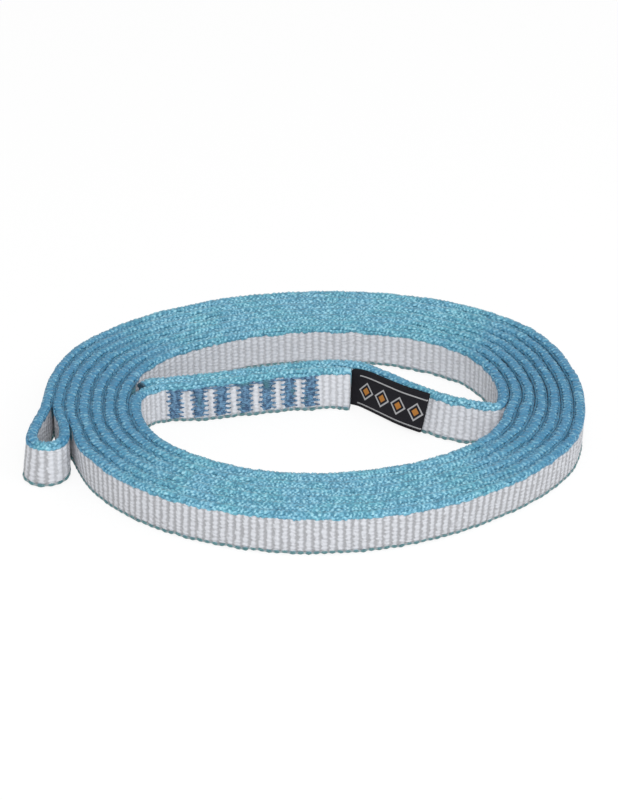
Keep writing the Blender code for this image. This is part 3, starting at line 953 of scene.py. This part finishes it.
def uneven_knots(rng, length, step, spread):
    """Places at uneven steps along the tape, enough of them to reach past its end."""
    return np.cumsum(rng.uniform(1 - spread, 1 + spread, int(1.2 * length / step) + 9)) * step


def floats(rng, length, stations, row):
    """How far one row of floats stands up from the weave, by turns high and low with the next one."""
    knots = uneven_knots(np.random.default_rng(FLOAT_SEED), length, FLOAT_LENGTH, FLOAT_SPREAD)
    highs = rng.uniform(*FLOATS_UP, len(knots))
    highs[row % 2::2] = rng.uniform(*FLOATS_DOWN, len(highs[row % 2::2]))
    return eased(np.interp(stations, knots, highs))


def edge_yarn(name, line, tape, number, lower):
    """One yarn of an edge: it floats over the weave and dives into it, by turns."""
    count, wide, deep, half, height, middle, first, square = LOWER_EDGE if lower else UPPER_EDGE
    angle = first + (math.pi - 2 * first) / (count - 1) * number
    outward = np.array([math.cos(angle), math.sin(angle)])
    aside = np.array([-outward[1], outward[0]])
    centre = np.sign(outward) * np.abs(outward) ** square * (half, height) + (0, middle)
    rng = np.random.default_rng(YARN_SEED + number + 10 * lower)
    corners = math.tau * np.arange(YARN_SIDES + 1) / YARN_SIDES
    wide *= (1 + outward[1]) / 2
    ring = np.stack([deep * np.cos(corners), wide * np.sin(corners)], axis=1)
    ring[-1] = ring[0]
    if lower:
        stations, numbers, phases = rib_stations(line, tape.rib_pitch)
        rise = (1 - np.cos(math.tau * phases)) / 2 * rng.uniform(*SCALLOPS, numbers.max() + 1)[numbers]
        rise = np.repeat(rise[:, None], len(ring), axis=1)
    else:
        stations = np.linspace(0, line.length, round(line.length / YARN_STEP))
        slanted = stations[:, None] + SLANT * ring[:, 1]
        rows = [floats(rng, line.length, slanted, row) for row in (number, number + 1)]
        rise = rows[0] + (rows[1] - rows[0]) * np.clip(0.5 + ring[:, 1] / wide, 0, 1)
    side = np.sign(round(outward[0], 3))
    beside = covered(line, stations, side) * abs(side)
    depthways = np.abs(line.left(stations)[:, 0])
    knots = uneven_knots(rng, stations[-1], SWAY_LENGTH, SWAY_SPREAD)
    sway = np.interp(stations, knots, rng.uniform(-SWAY, SWAY, len(knots))) * (1 + abs(outward[0]))
    out = ring[:, 0] + (rise - 1) * YARN_DIVE * (1 - LENGTHWAYS_CALM * depthways)[:, None]
    over = ring[:, 1] * (YARN_SLIM + YARN_SPREAD * rise) + sway[:, None]
    pressed = beside * (PRESSED_OUT + (PRESSED_OUT_LENGTHWAYS - PRESSED_OUT) * depthways)
    across = centre[0] * (1 + pressed / half)[:, None] + out * outward[0] + over * aside[0]
    heights = centre[1] + out * outward[1] + over * aside[1]
    heights += (PRESSED_UP * abs(outward[0]) * beside * (1 - depthways))[:, None]
    if lower:
        heights = tape.width - heights
    heights = np.clip(heights, 0, tape.width)
    around = np.linspace(0, math.tau * wide, YARN_SIDES + 1)
    marks = {"lift": rise, "hidden": beside, "depthways": depthways}
    return strip_mesh(name, on_tape(line, stations, across, heights), stations, around, marks)


class SLING_OT_edge_yarns(Operator):
    """The blue yarns woven along the tape's upper and lower edges"""
    bl_idname = "sling.edge_yarns"
    bl_label = "Edge yarns"

    def execute(self, context):
        tape = context.scene.sling_tape
        line = tape_line()
        material = yarn_material(tape, line.length)
        for edge, yarns in (("upper", UPPER_EDGE[0]), ("lower", LOWER_EDGE[0])):
            for number in range(yarns):
                name = f"{edge}_edge_yarn_{number + 1}"
                mesh = edge_yarn(name, line, tape, number, edge == "lower")
                new_piece(name, mesh, material, "sling")
        return {"FINISHED"}


# Stitching

THREAD_SIDES = 5
THREAD_STEPS = (0, 0.1, 0.3, 0.7, 0.9, 1)
SATIN_HALF = 0.0012
SATIN_ROUGHNESS = 0.0003
BOW = 0.0002
TEETH = 6
TOOTH_HALF = 0.0028
TACK_FOOT = 0.0016
TACK_TOP = 0.0103
THREAD_SINK = 0.0005
JUMP_SHARE = 0.85
LAST_JUMP_SHARE = 0.25
TOOTH_LENGTHS = (0.75, 1.0)
TACK_SEED = 40


def thread_tube(path, radius):
    """A closed thin tube along a path of places, none of them upright."""
    along = np.gradient(path, axis=0)
    along /= np.linalg.norm(along, axis=1, keepdims=True)
    side = np.cross(along, [0.0, 0.0, 1.0])
    side /= np.linalg.norm(side, axis=1, keepdims=True)
    over = np.cross(side, along)
    turns = np.linspace(0, math.tau, THREAD_SIDES + 1)[None, :, None]
    return path[:, None] + radius * (np.cos(turns) * side[:, None] + np.sin(turns) * over[:, None])


def thread_rows(middle, rows, rng):
    """Start and end of each row of thread of one bar tack on one face, and the layer it lies in."""
    step = (TACK_TOP - TACK_FOOT) / TEETH
    for tooth in range(TEETH):
        low = TACK_FOOT + step * (tooth + 1 / 4)
        back, ahead = middle + TOOTH_HALF * rng.uniform(*TOOTH_LENGTHS, 2) * (-1, 1)
        yield back, low, ahead, low + step / 2, 0
        yield ahead, low + step / 2, back, low + step, 0
    step = (TACK_TOP - TACK_FOOT) / rows
    lean = rng.uniform(0, 1)
    for row in range(rows):
        bow = BOW * math.sin(math.pi * (row / rows + lean))
        ends = middle + bow + (SATIN_HALF + SATIN_ROUGHNESS * rng.uniform(-1, 1, 2)) * (-1, 1)
        start, end = ends if row % 2 else ends[::-1]
        yield start, TACK_FOOT + step * row, end, TACK_FOOT + step * (row + 1), 1


def laid_thread(line, side, middle, radius, start, low, end, high, layer):
    """One row of thread on a face of the splice, with both ends sunk in the weave."""
    tape = bpy.context.scene.sling_tape
    steps = np.array(THREAD_STEPS)
    stations = start + (end - start) * steps
    face = FACE_SHARE * tape.thickness / 2 + tape.rib_height
    pressed = face - TACK_DENT * bell(stations - middle, DENT_HALF_LENGTH)
    sunk = np.where((steps == 0) | (steps == 1), THREAD_SINK, 0)
    across = side * (pressed + radius * (1 / 4 + layer) - sunk)
    heights = low + (high - low) * steps
    return thread_tube(on_tape(line, stations, across[:, None], heights[:, None])[:, 0], radius)


def joined_tubes(name, tubes):
    """One mesh of many closed tubes."""
    whole = bmesh.new()
    for tube in tubes:
        columns, rows = tube.shape[:2]
        piece = strip_mesh(name, tube, np.arange(columns) / columns, np.arange(rows) / rows)
        whole.from_mesh(piece)
        bpy.data.meshes.remove(piece)
    return new_mesh(name, whole)


class SLING_OT_bar_tacks(Operator):
    """The zigzag thread of each bar tack, on both faces of the splice"""
    bl_idname = "sling.bar_tacks"
    bl_label = "Bar tacks"

    def execute(self, context):
        stitches = context.scene.sling_stitches
        line = tape_line()
        material = thread_material(stitches)
        for number, (name, middles) in enumerate(tack_stations(line).items(), 1):
            rng = np.random.default_rng(TACK_SEED + number)
            share = LAST_JUMP_SHARE if number == TACK_COUNT else JUMP_SHARE
            tubes = []
            for side, middle in zip((1, -1), middles):
                rows = list(thread_rows(middle, stitches.rows, rng))
                rows.append((middle, TACK_TOP, middle + TACK_PITCH * share, TACK_TOP, 1))
                tubes += [laid_thread(line, side, middle, stitches.radius, *row) for row in rows]
            mesh = joined_tubes(name, tubes)
            tack = new_piece(f"tack_thread_{number}", mesh, material, "sling")
            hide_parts(name)
        return {"FINISHED"}


# Label

LABEL_LENGTH = 0.0260
LABEL_HEIGHT = 0.011
LABEL_FOOT = 0.0003
LABEL_ROOT = 0.013
LABEL_STEP = 0.0005
LABEL_OUT = 0.00235
LABEL_FOLD = 0.00035
LEAF_APART = 0.00004
LABEL_SKEW = 0.0010
ROOT_SINK = 0.16
ROOT_RISE_LENGTH = 0.006
LABEL_RAISED = 0.0010
LABEL_ROWS = 8
LABEL_PAST = 1.2
FOLD_STEPS = 6
HINGE_BLEND = 0.004


def label_middle(line):
    """Middle line of the folded label in plan, from its root between the layers to past its fold,
    and the length of the root."""
    reach = np.arange(-LABEL_ROOT, LABEL_LENGTH * LABEL_PAST, LABEL_STEP)
    share = np.clip(reach / LABEL_LENGTH, 0, 1)
    in_seam = (bpy.context.scene.sling_tape.thickness + ROOT_SEAM) / 2
    away = in_seam + (LABEL_OUT - in_seam) * np.sqrt(share)
    middle = Line(line.beside(line.length - SPLICE_LENGTH - reach, away))
    return middle, np.interp(0, reach, middle.stations)


def leaf_path(root, settings):
    """Reach and offset from the label's middle line, along one leaf, round the fold and back."""
    leaf = np.arange(-root, LABEL_LENGTH - LABEL_FOLD, LABEL_STEP)
    apart = settings.thickness / 2 + LEAF_APART
    offset = apart + (LABEL_FOLD - apart) * np.clip(leaf / LABEL_LENGTH, 0, 1) ** 2
    turn = math.pi * np.arange(FOLD_STEPS + 1) / FOLD_STEPS
    reach = np.concatenate([leaf, LABEL_LENGTH - LABEL_FOLD + LABEL_FOLD * np.sin(turn), leaf[::-1]])
    offset = np.concatenate([offset, LABEL_FOLD * np.cos(turn), -offset[::-1]])
    return np.stack([reach, offset], axis=1)


class SLING_OT_label(Operator):
    """The folded label, caught in the splice by its ends"""
    bl_idname = "sling.label"
    bl_label = "Label"

    def execute(self, context):
        settings = context.scene.sling_label
        tape = context.scene.sling_tape
        line = tape_line()
        middle, root = label_middle(line)
        path = Line(leaf_path(root, settings))
        heights = LABEL_FOOT + LABEL_HEIGHT * np.linspace(0, 1, LABEL_ROWS)
        heights = np.concatenate([heights, heights[::-1], heights[:1]])
        faces = np.repeat([1, -1, 1], [LABEL_ROWS, LABEL_ROWS, 1]) * settings.thickness / 2
        sides = path.left(path.stations, LABEL_FOLD / 4)[:, None]
        surface = path.points[:, None] - sides * faces[None, :, None]
        reach, offset = surface[..., 0], surface[..., 1]
        down = 1 - (heights - LABEL_FOOT) / LABEL_HEIGHT
        reach = reach - np.maximum(reach, 0) * LABEL_SKEW / LABEL_LENGTH * down
        lean = np.interp(-reach, FOOT_PLACES, FOOT_FORWARD)
        offset = offset - lean * (1 - heights / tape.width)
        offset += np.interp(-reach, FOOT_PLACES, STRAND_BACK)
        plan = middle.beside(root + reach, offset)
        sunk = np.interp(reach, (-LABEL_STEP, 0, ROOT_RISE_LENGTH), (ROOT_SINK, ROOT_SINK / 3, 0))
        raised = heights * (1 - sunk) + LABEL_RAISED * np.clip(reach / LABEL_LENGTH, 0, 1)
        mesh = strip_mesh("label", np.dstack([plan, raised]), path.stations, heights)
        material = label_material(settings, path.length)
        label = new_piece("label", mesh, material, None)
        turn_start = (*middle.at(root), 0)
        turn_end = (*middle.at(root + HINGE_BLEND), 0)
        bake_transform(label)
        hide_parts("label_root", "label_flap")
        return {"FINISHED"}


class SLING_OT_stage(Operator):
    """A pale floor, soft lights, and a camera where the photograph was taken from"""
    bl_idname = "sling.stage"
    bl_label = "Stage"

    def execute(self, context):
        make_floor()
        make_lights()
        make_camera(context.scene.sling_stage)
        context.scene.view_settings.view_transform = "Standard"
        return {"FINISHED"}


FLOOR_RADIUS = 3.0
FLOOR_SIDES = 96
FLOOR_COLOUR = (0.8, 0.8, 0.8)
FLOOR_SHINE = 1.04
FLOOR_SHINE_SHARE = 0.8
WORLD_STRENGTH = 0.63
SENSOR_HEIGHT = 36
LOOK_AT = Vector((0.0009, -0.0030, 0.0125))
# Place, size and power of each lamp
LAMPS = {"key": ((0.05, -1.1, 1.1), 0.7, 13.5), "fill": ((0.9, -0.3, 0.8), 0.9, 2.6)}


def make_floor():
    """A wide pale disc that looks white to the camera and keeps the sling's shadow."""
    shape = bmesh.new()
    bmesh.ops.create_circle(shape, cap_ends=True, segments=FLOOR_SIDES, radius=FLOOR_RADIUS)
    mesh = new_mesh("floor", shape)
    finish = Finish("pale_floor", {"Roughness": 0.9, "Base Color": FLOOR_COLOUR})
    shown = finish.add("Emission", {"Strength": FLOOR_SHINE})[0]
    path = finish.add("LightPath")
    seen = finish.maths("MAXIMUM", path["Is Camera Ray"], path["Is Glossy Ray"])
    seen = finish.maths("MAXIMUM", seen, path["Is Transmission Ray"])
    share = finish.times(seen, FLOOR_SHINE_SHARE)
    mixed = finish.add("MixShader", {0: share, 1: finish.shader.outputs[0], 2: shown})[0]
    output = finish.material.node_tree.nodes["Material Output"]
    finish.feed(output.inputs["Surface"], mixed)
    mesh.materials.append(finish.material)
    linked("floor", mesh)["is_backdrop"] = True


def make_lights():
    for name, (place, size, power) in LAMPS.items():
        data = bpy.data.lights.new(name, "AREA")
        data.shape = "DISK"
        data.size = size
        data.energy = power
        light = linked(name, data)
        light.location = place
        light.rotation_euler = (-Vector(place)).to_track_quat("-Z", "Y").to_euler()
    world = bpy.data.worlds.new("studio")
    world.use_nodes = True
    background = world.node_tree.nodes["Background"]
    background.inputs["Color"].default_value = (1, 1, 1, 1)
    background.inputs["Strength"].default_value = WORLD_STRENGTH
    bpy.context.scene.world = world


def make_camera(stage):
    data = bpy.data.cameras.new("camera")
    data.sensor_fit = "VERTICAL"
    data.sensor_height = SENSOR_HEIGHT
    data.lens = stage.lens
    data.clip_start = 0.01
    data.clip_end = 20
    camera = linked("camera", data)
    back = Vector((0, -math.cos(stage.elevation), math.sin(stage.elevation)))
    camera.location = LOOK_AT + back * stage.distance
    camera.rotation_euler = (math.pi / 2 - stage.elevation, 0, 0)
    bpy.context.scene.camera = camera


class SLING_PT_panel(Panel):
    bl_label = "Sling"
    bl_idname = "SLING_PT_panel"
    bl_space_type = "VIEW_3D"
    bl_region_type = "UI"
    bl_category = "Sling"

    def draw(self, context):
        for made in PIECES:
            self.layout.operator(made.bl_idname)


PIECES = (
    SLING_OT_webbing, SLING_OT_edge_yarns, SLING_OT_bar_tacks, SLING_OT_label, SLING_OT_stage,
)
SETTINGS = {
    "sling_tape": TapeSettings, "sling_stitches": StitchSettings,
    "sling_label": LabelSettings, "sling_stage": StageSettings,
}
CLASSES = (*SETTINGS.values(), *PIECES, SLING_PT_panel)


def register():
    for made in CLASSES:
        bpy.utils.register_class(made)
    for name, group in SETTINGS.items():
        setattr(bpy.types.Scene, name, PointerProperty(type=group))


def unregister():
    for name in SETTINGS:
        delattr(bpy.types.Scene, name)
    for made in reversed(CLASSES):
        bpy.utils.unregister_class(made)


def main():
    register()
    bpy.ops.sling.webbing()
    bpy.ops.sling.edge_yarns()
    bpy.ops.sling.bar_tacks()
    bpy.ops.sling.label()
    bpy.ops.sling.stage()
    sizes = {"cad": CAD_BOX, "final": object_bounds()}
    {name: [list(corner) for corner in box] for name, box in sizes.items()}


if __name__ == "__main__":
    main()
